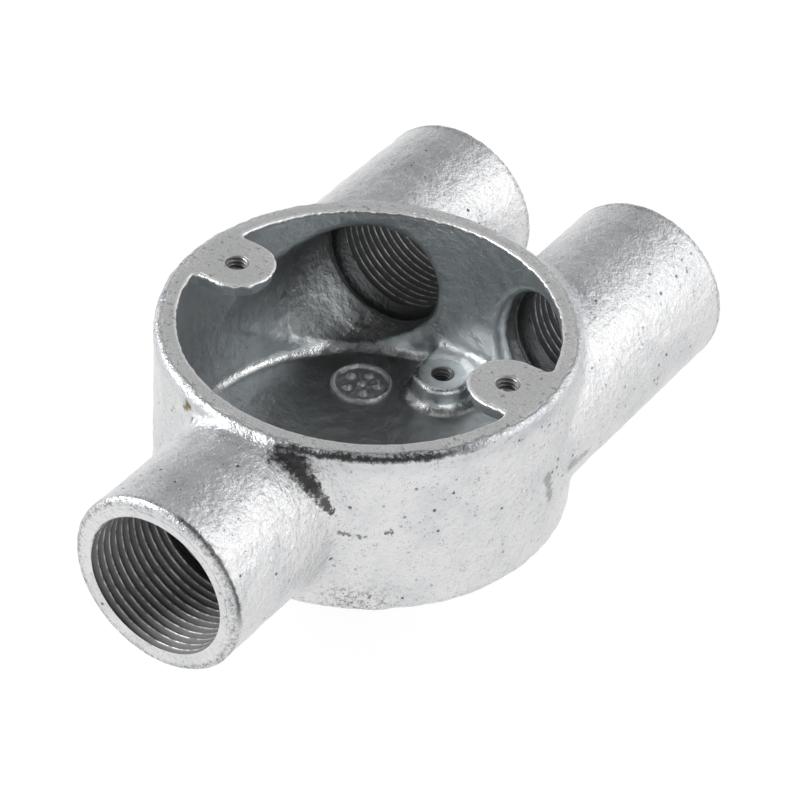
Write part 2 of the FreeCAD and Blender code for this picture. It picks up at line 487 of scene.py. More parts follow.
# How much of the metal a mask covers
DULL_SHARE, PIT_SHARE, DOT_SHARE, PATCHY_SHARE = 0.3, 0.85, 0.6, (0.35, 0.4)
BAND_SHARE, LINE_SHARE, END_SHARE, FOOT_SHARE = 0.95, 0.85, 0.55, 0.6
# The bushes' share is how much painted shade darkens them
CLOUD_SHARE, PAINTED_HIGHLIGHT_SHARE, BUSH_SHADE_SHARE, SHADE_SHARE, DROSS_SHARE = 0.35, 0.8, 0.9, 0.6, 0.3
CUT_SPECK_SHARE = 0.45

# How far the noises fray the edge of a stain, of the rim's band and of the mouth's line
FRAY, BAND_FRAY, LINE_FRAY = (3.0, 1.2, 1.6), 0.45, 0.3


class Spot:
    """The shaded place and the zinc's pattern there, for the masks.

    Attributes:
        graph: the graph that the masks go into.
        point: position link, mm.
        x, y, z: to the right, to the back and above the base, mm.
        bearing: about the drum's axis, degrees from the front towards the right.
        broad, middle, fine, grain: noises, from wide clouds to the finest, 0 to 1.
        dull, specks: masks of the dull patches and of the dross.
        radius: from the drum's axis, mm.
    """

    def __init__(self, graph: Graph) -> None:
        """Find the place that a graph shades and the noises there.

        Args:
            graph: the graph.
        """
        self.graph = graph
        self.point = graph.point()
        parts = graph.node("ShaderNodeSeparateXYZ", Vector=self.point)
        self.x, self.y, self.z = (Signal(graph, output) for output in parts.outputs)
        self.bearing = graph.math("ARCTAN2", self.x, 0.0 - self.y) * (180 / math.pi)
        self.broad, self.middle, self.fine, self.grain = (graph.noise(self.point, *noise) for noise in NOISES)
        self.dull = graph.step(self.broad, *DULL)
        self.specks = graph.where((self.fine, SPECK), (self.middle, SPECK_FIELD))
        self.radius = graph.length(self.x, self.y)

    def in_spout(self, spout: Spout) -> tuple[Signal, Signal]:
        """Distance along a spout from the drum's axis, and distance from the spout's own axis."""
        return self.y * float(spout.way.value), self.graph.length(self.x - spout.x, self.z - spout.z)


class Dirt(Enum):
    """What a stain is made of, with its colour; the soot colour also paints shade on the casting."""

    SOOT = (0.035, 0.035, 0.037)
    RUST = (0.22, 0.17, 0.05)


@dataclass(frozen=True)
class Stain:
    """A dark mark along a straight stretch of the surface.

    Attributes:
        start, end: its two ends, mm.
        start_r, end_r: its half width at them, mm.
        strength: how much of the metal it covers.
        dirt: what it is.
    """

    start: Triple
    end: Triple
    start_r: float
    end_r: float
    strength: float
    dirt: Dirt = Dirt.SOOT

    def mask(self, spot: Spot, ragged: Signal) -> Signal:
        """How much of the stain there is at a place.

        Args:
            spot: the shaded place.
            ragged: noise about 0 that frays its edge, mm.

        Returns:
            The mask.
        """
        graph = spot.graph
        ahead = Vector(self.end) - Vector(self.start)
        away = graph.vector("SUBTRACT", in0=spot.point, in1=self.start)
        reached = graph.measure("DOT_PRODUCT", in0=away, in1=tuple(ahead))
        share = graph.math("DIVIDE", reached, ahead.length_squared, clamp=True)
        foot = graph.vector("SCALE", in0=tuple(ahead), Scale=share)
        gap = graph.measure("DISTANCE", in0=away, in1=foot)
        width = share * (self.end_r - self.start_r) + self.start_r
        return graph.step((gap + ragged) / width, *STAIN_EDGE) * self.strength


STAINS = (
    Stain((6.4, -33.8, 29.9), (9.4, -32.9, 28.4), 1.9, 2.2, 0.97),
    Stain((9.4, -32.9, 28.4), (11.9, -32.3, 25.0), 2.1, 1.5, 0.97),
    Stain((11.9, -32.3, 25.0), (15.0, -30.7, 20.2), 1.4, 0.6, 0.9),
    Stain((15.6, -29.7, 16.4), (18.6, -27.9, 15.6), 0.42, 0.32, 0.7),
    Stain((21.6, -25.6, 16.6), (21.9, -25.4, 16.4), 0.32, 0.32, 0.8),
    Stain((28.0, -18.4, 22.6), (28.1, -18.3, 22.5), 0.25, 0.25, 0.9),
    Stain((33.4, 0.8, 15.8), (33.4, 2.4, 10.8), 0.9, 0.7, 0.45),
    Stain((33.4, 8.2, 13.2), (33.4, 13.2, 13.0), 1.1, 0.8, 0.4),
    Stain((-11.9, -31.3, 28.4), (-12.4, -31.1, 27.5), 0.95, 0.7, 0.9, Dirt.RUST),
    Stain((-12.4, -31.2, 28.9), (-11.6, -31.5, 28.3), 0.4, 0.35, 0.9),
)


@dataclass(frozen=True)
class GalvanisedIron:
    """Hot-dip zinc on cast iron: bright and lumpy outside, duller in the chamber, milled at the rim, with
    painted shade and painted highlights in its colour.

    Attributes:
        spouts: the spouts, whose passages count as inside.
        name: the material's name.
        bright, grey: colours of the outside and of its dull patches; the grey is also painted shade on the
            spouts' tops.
        milled, fresh: colours of the rim and of its brightest grains.
        chamber: colour inside, darker than the outside's as painted shade.
        deep: how much painted shade darkens the chamber's floor.
        stains: dark marks on the outside.
        soot: colour of dross and dirt, and of the painted shade on the chamber's floor and in the bushes and
            passages.
        boss_y: distance of the earth boss from the middle, mm.
    """

    spouts: tuple[Spout, ...]
    name: str = "galvanised_iron"
    bright: Triple = (0.84, 0.84, 0.845)
    grey: Triple = (0.55, 0.578, 0.615)
    milled: Triple = (0.74, 0.745, 0.75)
    fresh: Triple = (0.97, 0.97, 0.97)
    # The chamber's colour is darker than the outside's: painted shade
    chamber: Triple = (0.73, 0.765, 0.775)
    deep: float = 0.6
    stains: tuple[Stain, ...] = STAINS
    soot: Triple = (0.05, 0.05, 0.052)
    boss_y: float = 23.2

    def build(self) -> Material:
        """Make the material.

        Returns:
            The material, patterned in millimetres of object space.
        """
        material, graph = new_material(self.name)
        spot = Spot(graph)
        pits = graph.where((graph.cells(spot.point, PITS_PER_MM), PIT), (spot.broad, PIT_FIELD))
        # Pooled zinc: smoother, and with a painted highlight in its colour
        pool_and_highlight = self.zinc_pool(spot) * graph.step(spot.middle, *POOL_AND_HIGHLIGHT_FIELD)
        # The second mask is painted shade in the bushes and passages
        inside, bush = self.hollow(spot)
        milled = graph.step(spot.z, *MILLED_FACE)
        outer, inner = self.outside_colour(spot, pits), self.inside_colour(spot, pool_and_highlight, bush)
        colour = graph.colour_mix(milled, graph.colour_mix(inside, outer, inner), self.milled_colour(spot))
        uneven = spot.fine - 0.5
        rough = 0.3 + uneven * 0.25
        rough = rough * (1.0 - inside) + inside * (0.35 - pool_and_highlight * 0.17 + uneven * 0.2)
        rough = rough * (1.0 - milled) + milled * 0.42
        relief = spot.fine * 1.5 + spot.grain * 0.35 + spot.middle - pits * 0.5
        relief = relief * (1.0 - milled * 0.6) * (1.0 - inside * 0.55) + spot.grain * milled * 0.5
        graph.metal(colour, 1.0, rough, relief, depth=0.0002, share=1.0)
        return material

    def hollow(self, spot: Spot) -> tuple[Signal, Signal]:
        """What lies inside the casting.

        Args:
            spot: the shaded place.

        Returns:
            Mask of all that lies inside, and mask of the painted shade in the bushes and passages in it.
        """
        graph = spot.graph
        inside = [graph.where((spot.radius, CHAMBER_WALL), (spot.z, FLOOR_METAL))]
        bush = []
        for spout in self.spouts:
            along, across = spot.in_spout(spout)
            within = graph.where((across, PASSAGE_BORE), (along, PASSAGE_START), (along, PASSAGE_END))
            inside.append(within)
            bush.append(within * graph.where((across, BUSH_BORE), (along, BUSH_START)))
            bush.append(within * graph.step(along, *PASSAGE_SHADE) * SHADE_SHARE)
        return largest(inside), largest(bush)

    def outside_colour(self, spot: Spot, pits: Signal) -> Socket:
        """Bright zinc with dull patches, dross, pits, dots, stains and grime, and painted shade on the
        spouts' tops, on their ends' edges and under the rim.

        Args:
            spot: the shaded place.
            pits: mask of the pits.

        Returns:
            The colour.
        """
        graph = spot.graph
        dots = graph.where((spot.grain, DOT), (spot.middle, DOT_FIELD)) * DOT_SHARE
        patchy = PATCHY_SHARE[0] + spot.dull * PATCHY_SHARE[1]
        # Painted shade on the spouts' tops is mixed in with the dull patches here
        worn = (spot.dull * DULL_SHARE) | (graph.step(spot.z, *TOP_SHADE) * patchy)
        skin = graph.colour_mix(worn, self.bright, self.grey)
        skin = graph.colour_mix(spot.specks * patchy, skin, self.soot)
        skin = graph.colour_mix((pits * PIT_SHARE) | dots, skin, self.soot)
        noises = zip((spot.fine, spot.middle, spot.grain), FRAY)
        ragged = functools.reduce(operator.add, [(noise - 0.5) * mm for noise, mm in noises])
        grit = spot.fine * 0.5 + spot.grain * 0.5
        for dirt in Dirt:
            masks = [stain.mask(spot, ragged) for stain in self.stains if stain.dirt is dirt]
            if dirt is Dirt.SOOT:
                # Painted shade with grainy grime on the outer edges of the spouts' ends
                masks.append(self.worn_edge(spot) * graph.step(grit, *EDGE_GRIME_AND_SHADE))
                masks.append(self.foot_patch(spot) * graph.step(grit, *FOOT_GRIME))
                # The band under the rim is painted shade
                masks += [self.rim_band(spot, ragged), self.mouth_line(spot, ragged)]
            if masks:
                skin = graph.colour_mix(largest(masks), skin, dirt.value)
        return skin

    def inside_colour(self, spot: Spot, pool_and_highlight: Signal, bush: Signal) -> Socket:
        """Duller zinc, with painted shade on the floor and in the bushes and passages, and a painted
        highlight where it pooled.

        Args:
            spot: the shaded place.
            pool_and_highlight: mask of the pooled zinc, which is smoother, and of its painted highlight.
            bush: mask of the painted shade in the bushes and passages.

        Returns:
            The colour.
        """
        graph = spot.graph
        # Painted shade on the chamber's floor, fuller towards the back
        floor = graph.step(spot.z, *DARK_FLOOR) * (graph.step(spot.y, *DARK_BACK) * 0.5 + 0.5)
        hollow = graph.colour_mix(graph.step(spot.middle, *CLOUD) * CLOUD_SHARE, self.chamber, self.grey)
        hollow = graph.colour_mix(floor * self.deep, hollow, self.soot)
        # Painted highlight where the zinc pooled
        hollow = graph.colour_mix(pool_and_highlight * PAINTED_HIGHLIGHT_SHARE, hollow, self.bright)
        # Painted shade in the bushes and passages
        hollow = graph.colour_mix(bush * BUSH_SHADE_SHARE, hollow, self.soot)
        return graph.colour_mix(spot.specks * DROSS_SHARE, hollow, self.soot)

    def milled_colour(self, spot: Spot) -> Socket:
        """The machined rim: bright grains and specks in cut metal."""
        graph = spot.graph
        grains = graph.step(spot.grain, *FRESH_CUT) * (0.5 + spot.dull * 0.5)
        cut = graph.colour_mix(grains, self.milled, self.fresh)
        return graph.colour_mix(graph.step(spot.fine, *CUT_SPECK) * CUT_SPECK_SHARE, cut, self.soot)

    def rim_band(self, spot: Spot, ragged: Signal) -> Signal:
        """Painted shade: the dark line under the rim's outer rounding, on the front right."""
        height = spot.z + ragged * BAND_FRAY
        return spot.graph.where(*zip((spot.bearing, spot.bearing, height, height), RIM_BAND)) * BAND_SHARE

    def mouth_line(self, spot: Spot, ragged: Signal) -> Signal:
        """The thin dark line about the front spout's end, on its upper right."""
        beside = abs(0.0 - spot.y - MOUTH_LINE_Y + ragged * LINE_FRAY)
        return spot.graph.where(*zip((spot.x, spot.z, beside), MOUTH_LINE)) * LINE_SHARE

    def zinc_pool(self, spot: Spot) -> Signal:
        """Where zinc gathered and set smooth, and where a painted highlight goes: the floor's corner and the
        earth boss's foot and edge.
        """
        graph = spot.graph
        about = graph.length(spot.x, spot.y - self.boss_y)
        corner = zip((spot.radius, spot.z, spot.z), CORNER_POOL_AND_HIGHLIGHT)
        foot, edge = (zip((about, about, spot.z), place) for place in (BOSS_FOOT, BOSS_EDGE))
        return largest(graph.where(*place) for place in (corner, foot, edge))

    def worn_edge(self, spot: Spot) -> Signal:
        """Grime and painted shade on the outer edge of each spout's end."""
        seen = [zip(spot.in_spout(spout), SPOUT_END) for spout in self.spouts]
        return largest(spot.graph.where(*place) for place in seen) * END_SHARE

    def foot_patch(self, spot: Spot) -> Signal:
        """Where the lower drum is stained, by the front spout's root."""
        places = (spot.bearing, spot.bearing, spot.radius, spot.z)
        return spot.graph.where(*zip(places, FOOT_PATCH)) * FOOT_SHARE


@dataclass(frozen=True)
class CutThread:
    """Thread cut in the iron: dark oily flanks, bright worn crests.

    Attributes:
        flank: colour between the crests.
        crest: colour of the crests.
        wear: noise of the wear: cells per mm, octaves, share of the finer octaves.
        grit: noise of the relief, in the same terms.
        worn: where the wear noise starts to brighten a crest and where it does so fully.
    """

    flank: Triple = (0.22, 0.22, 0.222)
    crest: Triple = (0.88, 0.87, 0.86)
    wear: Triple = (0.8, 3.0, 0.6)
    grit: Triple = (2.5, 3.0, 0.6)
    worn: Pair = (0.3, 0.65)

    def build(self) -> Material:
        """Make the material.

        Returns:
            The material; the mesh's "crest" attribute says where the crests are.
        """
        material, graph = new_material("cut_thread")
        point = graph.point()
        crest = Signal(graph, graph.node("ShaderNodeAttribute", {"attribute_name": "crest"}).outputs["Fac"])
        wear = graph.noise(point, *self.wear)
        mark = crest * graph.step(wear, *self.worn)
        colour = graph.colour_mix(mark * 0.85, self.flank, self.crest)
        rough = 0.58 - mark * 0.3 + (wear - 0.5) * 0.2
        metallic, grit = 0.6 + mark * 0.35, graph.noise(point, *self.grit)
        graph.metal(colour, metallic, rough, grit, depth=0.00005, share=0.4)
        return material


# ---- the casting as a distance field


def round_union(distances: Sequence[Array], radius: float) -> Array:
    """Union of solids that meet at right angles, with a fillet of that radius.

    Outside the fillet it is the smallest distance; inside it, the radius less the length of the
    vector of what each distance falls short of the radius.

    Args:
        distances: distance to each solid.
        radius: fillet radius.

    Returns:
        Distance to the union.
    """
    short = sum(np.maximum(radius - distance, 0) ** 2 for distance in distances)
    return np.maximum(radius, np.minimum.reduce(distances)) - np.sqrt(short)


def round_cut(first: Array, second: Array, radius: float) -> Array:
    """What is in both of two solids, with the edge between them rounded."""
    return -round_union([-first, -second], radius)


def rolled_union(first: Array, second: Array, cosine: Array, radius: Array | float) -> Array:
    """Union of two solids with the fillet of a rolling ball, at any angle between their walls.

    With u and v the distances left to the ball's middle and c the cosine between the walls'
    normals, the distance to that middle squared is (u*u + v*v - 2*u*v*c) / (1 - c*c).

    Args:
        first: distance to one solid.
        second: distance to the other.
        cosine: cosine between their outward normals.
        radius: the ball's radius.

    Returns:
        Distance to the union.
    """
    flush = 0.999
    u = radius - first
    v = radius - second
    away = np.maximum(u * u + v * v - 2 * u * v * cosine, 0) / np.maximum(1 - cosine ** 2, 1e-3)
    ball = radius - np.sqrt(away)
    between = (u > v * cosine) & (v > u * cosine) & (u > 0) & (v > 0) & (cosine < flush)
    return np.where(between, ball, np.minimum(first, second))


@dataclass(frozen=True)
class InSpout:
    """Places as one spout sees them.

    Attributes:
        reach: drum axis to the spout's end face, mm.
        along, across: distance along it from the drum's axis, and from its own axis, mm.
        cosine: cosine between the ways out of the spout and out of the drum.
    """

    reach: float
    along: Array
    across: Array
    cosine: Array


@dataclass
class Casting:
    """The one-piece casting; sizes are in mm, and drafts in degrees.

    Attributes:
        spouts: its three spouts.
        cell: spacing of the lattice on which the field is read.
        drum_r, drum_h: outside radius and height of the drum.
        wall, floor: thickness of its wall at the rim and of its floor.
        draft: draft of the chamber.
        corner_r: inside corner between wall and floor.
        foot_r, rim_r: roundings of the drum's bottom and top edge.
        spout_r, end_r: outside radius of a spout and rounding of its end.
        root_r, root_least: fillet at a spout's root at mid height, and at its crown and foot.
        root_growth, crown_z: how fast the fillet grows with height, and the height of the crown.
        passage_r, bell_r: radius of a passage and of its bell mouth.
        bell_span: distance along the passage over which the bell mouth reaches its radius.
        bore_from, bore_r: start and radius of the hole that holds a thread's sleeve.
        lug_x, lug_r, lug_t, lug_root: a lug's screw, nose, thickness and root fillet.
        lug_edge: rounding of a lug's lower edge.
        lug_back: radius about the drum's axis to which a lug is carried into the wall.
        screw_r: outside radius of the screw threads.
        screw_low, earth_low: height to which the lugs' holes and the earth hole are cut.
        earth_y: distance of the earth screw from the middle.
        boss_r, boss_top, boss_draft, boss_edge: the earth boss's top, height, draft and rounding.
        skin, inner_skin: depth of the cast skin outside and inside.
    """

    spouts: list[Spout]
    cell: float = 0.66
    drum_r: float = 33.5
    drum_h: float = 31.0
    wall: float = 3.0
    floor: float = 2.5
    draft: float = 1.0
    corner_r: float = 2.0
    foot_r: float = 2.0
    rim_r: float = 1.3
    spout_r: float = 15.0
    end_r: float = 1.1
    root_r: float = 3.0
    root_least: float = 0.9
    root_growth: float = 0.8
    crown_z: float = 30.2
    passage_r: float = 11.6
    bell_r: float = 2.0
    bell_span: Pair = (1.0, 10.0)
    bore_from: float = 34.3
    bore_r: float = 13.0
    lug_x: float = 25.4
    lug_r: float = 5.7
    lug_t: float = 2.6
    lug_root: float = 1.5
    lug_edge: float = 0.5
    lug_back: float = 32.0
    screw_r: float = 2.0
    screw_low: float = 20.0
    earth_low: float = 1.5
    earth_y: float = 23.2
    boss_r: float = 4.7
    boss_top: float = 6.5
    boss_draft: float = 4.0
    boss_edge: float = 0.7
    skin: float = 0.26
    inner_skin: float = 0.12

    @property
    def inner_r(self) -> float:
        """Radius of the chamber at the rim."""
        return self.drum_r - self.wall

    def relief(self, points: Array) -> tuple[Array, Array]:
        """Depth of the cast skin below the true surface, outside and inside."""
        layers = ((7.0, 11, 0.5), (2.6, 12, 0.5), (1.5, 13, 0.45))
        mixed = 0.5 + sum(share * lumps(points, period, seed) for period, seed, share in layers)
        mixed = np.clip(mixed, 0, 1)
        return self.skin * mixed, self.inner_skin * (mixed * 2 - 1)

    def outside(self, z: Array, radius: Array, spouts: list[InSpout], skin: Array | float) -> Array:
        """Distance to the solid lump: drum, spouts and the fillets between them.

        Args:
            z: heights.
            radius: distances from the drum's axis.
            spouts: the places as each spout sees them.
            skin: depth of the cast skin, which fades towards the spouts' ends.

        Returns:
            Distance to the lump, negative within it.
        """
        shy, fade, least = 0.02, (0.36, 1.56), 0.06
        drum = round_cut(round_cut(radius - self.drum_r, -z, self.foot_r), z - self.drum_h, self.rim_r)
        grown = self.root_least + self.root_growth * np.minimum(self.crown_z - z, z)
        ball = np.clip(grown, self.root_least, self.root_r)
        outer = drum
        for seen in spouts:
            tube = round_cut(seen.across - self.spout_r, seen.along - (seen.reach - shy), self.end_r)
            joined = rolled_union(drum, np.maximum(tube, -seen.along), seen.cosine, ball)
            outer = np.minimum(outer, np.where(seen.along > 0, joined, outer))
        left = np.minimum.reduce([seen.reach - seen.along for seen in spouts])
        outer = outer + skin * np.clip((left - fade[0]) / (fade[1] - fade[0]), least, 1)
        return np.maximum(np.maximum(outer, z - self.drum_h), -z)

    def chamber_wall(self, z: Array, radius: Array) -> Array:
        """Distance inwards from the chamber's drafted wall."""
        slope = math.radians(self.draft)
        return (self.inner_r - (self.drum_h - z) * math.tan(slope) - radius) * math.cos(slope)

    def earth_boss(self, x: Array, y: Array, z: Array) -> Array:
        """Distance to the drafted boss, which is carried back into the wall."""
        lean = math.radians(self.boss_draft)
        nose = np.where(y < self.earth_y, np.hypot(x, y - self.earth_y), np.abs(x))
        side = (nose - self.boss_r - (self.boss_top - z) * math.tan(lean)) * math.cos(lean)
        return round_cut(side, z - self.boss_top, self.boss_edge)

    def hollow(self, floor: list[Array], spouts: list[InSpout], skin: Array | float) -> Array:
        """Distance to the air inside: chamber, bell mouths, passages and bores.

        Args:
            floor: distances to what bounds the chamber: its wall, its floor and the boss.
            spouts: the places as each spout sees them.
            skin: depth of the cast skin.

        Returns:
            Distance to the air, negative within it.
        """
        least = 0.02
        start, end = self.bell_span
        chamber = -round_union(floor, self.corner_r)
        air = chamber
        for seen in spouts:
            passage = np.maximum(seen.across - self.passage_r, -seen.along)
            bell = self.bell_r * np.clip((seen.along - start) / (end - start), least, 1)
            joined = rolled_union(chamber, passage, seen.cosine, bell)
            air = np.minimum(air, np.where(seen.along > 0, joined, air))
        air = np.maximum(air, -floor[1]) - skin
        bores = [np.maximum(seen.across - self.bore_r, self.bore_from - seen.along) for seen in spouts]
        return np.minimum.reduce([air, *bores])

    def add_lug(self, metal: Array, sign: int, place: Sequence[Array], wall: Array, skin: Array) -> Array:
        """Add one cover lug and cut its hole.

        Args:
            metal: distance to the casting without it.
            sign: 1 for the right lug, -1 for the left one.
            place: x, y, z and the distance from the drum's axis.
            wall: distance inwards from the chamber's wall.
            skin: depth of the cast skin.

        Returns:
            Distance to the casting with it.
        """
        x, y, z, radius = place
        ahead = x * sign
        nose = np.where(ahead < self.lug_x, np.hypot(ahead - self.lug_x, y), np.abs(y))
        normal_x = np.where(ahead < self.lug_x, (ahead - self.lug_x) / np.maximum(nose, TINY), 0)
        normal_y = np.where(ahead < self.lug_x, y / np.maximum(nose, TINY), np.sign(y))
        cosine = -(normal_x * ahead + normal_y * y) / radius
        tongue = rolled_union(wall, nose - self.lug_r + np.abs(skin), cosine, self.lug_root)
        tongue = round_cut(tongue, self.drum_h - self.lug_t - z, self.lug_edge)
        tongue = np.maximum.reduce([tongue, z - self.drum_h, radius - self.lug_back, -ahead])
        hole = np.hypot(ahead - self.lug_x, y) - self.screw_r
        hole = np.maximum.reduce([hole, self.screw_low - z, -ahead])
        return np.maximum(np.minimum(metal, tongue), -hole)

    def distance(self, points: Array, rough: bool) -> Array:
        """Signed distance to the casting, negative in the metal.

        Args:
            points: (n, 3) places in mm.
            rough: with the cast skin.

        Returns:
            (n,) distances.
        """
        x, y, z = points.T
        out_skin, in_skin = self.relief(points) if rough else (0.0, 0.0)
        radius = np.maximum(np.hypot(x, y), TINY)
        spouts = []
        near, bush, fade, least = 13.5, 33.4, 2.0, 0.05
        for spout in self.spouts:
            along = y * spout.way.value
            across = np.maximum(np.hypot(x - spout.x, z - spout.z), TINY)
            spouts.append(InSpout(spout.reach, along, across, (x - spout.x) / across * x / radius))
            in_skin = in_skin * np.where(across < near, np.clip((bush - along) / fade, least, 1), 1)

        wall = self.chamber_wall(z, radius)
        floor = [wall, z - self.floor, self.earth_boss(x, y, z)]
        metal = np.maximum(self.outside(z, radius, spouts, out_skin), -self.hollow(floor, spouts, in_skin))
        for sign in (-1, 1):
            metal = self.add_lug(metal, sign, (x, y, z, radius), wall, in_skin)
        earth = np.hypot(x, y - self.earth_y) - self.screw_r
        return np.maximum(metal, -np.maximum(earth, self.earth_low - z))

    def field(self, points: Array) -> Array:
        """Distance with the skin, which is worked out only near the surface."""
        reach = 1.0
        result = self.distance(points, False)
        near = np.abs(result) < reach
        result[near] = self.distance(points[near], True)
        return result

    def crossings(self, low: Array, high: Array, inside_first: Array) -> Array:
        """Where the surface cuts each lattice edge, by halving the edge again and again.

        Args:
            low: (n, 3) lower end of each edge.
            high: (n, 3) upper ends.
            inside_first: (n,) whether the lower end is in the metal.

        Returns:
            (n, 3) places.
        """
        halvings = 7
        near = np.where(inside_first[:, None], low, high)
        far = np.where(inside_first[:, None], high, low)
        for _ in range(halvings):
            middle = (near + far) / 2
            metal = self.distance(middle, True) < 0
            near = np.where(metal[:, None], middle, near)
            far = np.where(metal[:, None], far, middle)
        return (near + far) / 2

    def normals(self, points: Array) -> Array:
        """Unit slope of the field, from four probes at a tetrahedron's corners."""
        probe = 0.03
        corners = np.array([[1, 1, 1], [1, -1, -1], [-1, 1, -1], [-1, -1, 1]], float)
        slope = sum(self.distance(points + corner * probe, True)[:, None] * corner for corner in corners)
        return slope / np.maximum(np.linalg.norm(slope, axis=1, keepdims=True), 1e-9)

    def surface(self) -> tuple[Array, Array]:
        """The closed surface, one point in each lattice cell that it passes through.

        In each such cell the point is the one that lies nearest to all the planes that touch the
        surface where it cuts the cell's edges, so that edges and corners stay crisp.

        Returns:
            Points in mm and four-cornered faces that point outwards.
        """
        margin, both, batches = 1.37, 2.9, 8        # lattice beyond the box, in cells, and its parts
        half = np.array([self.drum_r, max(s.reach for s in self.spouts), self.drum_h / 2])
        low = np.array([-half[0], -half[1], 0.0]) - margin * self.cell
        count = np.ceil((2 * half + both * self.cell) / self.cell).astype(int) + 1
        axes = [low[a] + self.cell * np.arange(count[a]) for a in range(3)]
        lattice = np.stack(np.meshgrid(*axes, indexing="ij"), axis=-1)
        parts = np.array_split(lattice, batches)
        values = np.concatenate([self.field(part.reshape(-1, 3)) for part in parts])
        metal = (values < 0).reshape(count)

        cells = count - 1
        step = np.array([cells[1] * cells[2], cells[2], 1])
        edges = []
        for axis in range(3):
            first = [slice(None)] * 3
            second = [slice(None)] * 3
            first[axis] = slice(None, -1)
            second[axis] = slice(1, None)
            index = np.argwhere(metal[tuple(first)] != metal[tuple(second)])
            inside_first = metal[tuple(first)][tuple(index.T)]
            start = low + index * self.cell
            cut = self.crossings(start, start + np.eye(3)[axis] * self.cell, inside_first)
            b, c = (axis + 1) % 3, (axis + 2) % 3
            shifts = np.zeros((4, 3), int)
            shifts[1, b] = shifts[2, b] = shifts[2, c] = shifts[3, c] = -1
            around = ((index[:, None, :] + shifts) * step).sum(axis=2)
            edges.append((cut, self.normals(cut), around, inside_first))

        cut, normal, around, inside_first = (np.concatenate(column) for column in zip(*edges))
        used, number = np.unique(around.ravel(), return_inverse=True)
        number = number.ravel()
        corner = np.stack(np.unravel_index(used, cells), axis=1) * self.cell + low
        points = np.clip(self.corners(cut, normal, number), corner, corner + self.cell)
        points = np.clip(points, (-half[0], -half[1], 0.0), (half[0], half[1], self.drum_h))
        faces = number.reshape(-1, 4)
        return points, np.where(inside_first[:, None], faces, faces[:, ::-1])

    @staticmethod
    def corners(cut: Array, normal: Array, number: Array) -> Array:
        """The point of each cell that lies nearest to all its touching planes.

        With n the normals and p the cuts, the shift s from the cuts' middle m solves
        sum(n n^T) s = sum(n (n . p)) - sum(n n^T) m along the directions that the planes fix.

        Args:
            cut: (e, 3) places where the surface cuts the lattice's edges.
            normal: (e, 3) unit slopes there.
            number: (4 e,) the cell of each edge's four neighbours.

        Returns:
            (c, 3) places.
        """
        weak = 0.1              # directions fixed less than this share of the strongest are left
        each = np.repeat(np.arange(len(cut)), 4)

        def total(values: Array) -> Array:
            """Sum per cell of a value per edge."""
            return np.bincount(number, weights=values[each])

        centre = np.stack([total(cut[:, a]) for a in range(3)], axis=1)
        centre = centre / total(np.ones(len(cut)))[:, None]
        offset = np.einsum("ij,ij->i", normal, cut)
        pairs = [total(normal[:, a] * normal[:, b]) for a in range(3) for b in range(3)]
        square = np.stack(pairs, axis=1).reshape(-1, 3, 3)
        right = np.stack([total(normal[:, a] * offset) for a in range(3)], axis=1)
        right = right - np.einsum("nij,nj->ni", square, centre)
        sizes, ways = np.linalg.eigh(square)
        inverse = np.where(sizes > weak * sizes[:, 2:], 1 / np.maximum(sizes, 1e-9), 0)
        return centre + np.einsum("nij,nj,nkj,nk->ni", ways, inverse, ways, right)

    def build(self, material: Material) -> bpy.types.Object:
        """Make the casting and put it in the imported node's place."""
        points, faces = self.surface()
        made = dressed(new_object("casting", points, faces, [material], sharp=38))
        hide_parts(NODE)
        return made


# ---- threads, bead and pad


PHASES = (0.0, 0.07, 0.22, 0.37, 0.45, 0.475, 0.525, 0.55, 0.63, 0.78, 0.93, 1.0)
CREST_HALF = 0.03       # half width of the flat on a crest, in pitches
FLANK = 0.4             # width of a flank, in pitches
CREST_WEAR = 0.07       # how far the crests are worn, in pitches
LEAD_IN, LEAD_FACE = 1.1, 1.6       # slopes of the lead-in and of the face about it
RUN_OUT = 2.0           # slope of the undercut


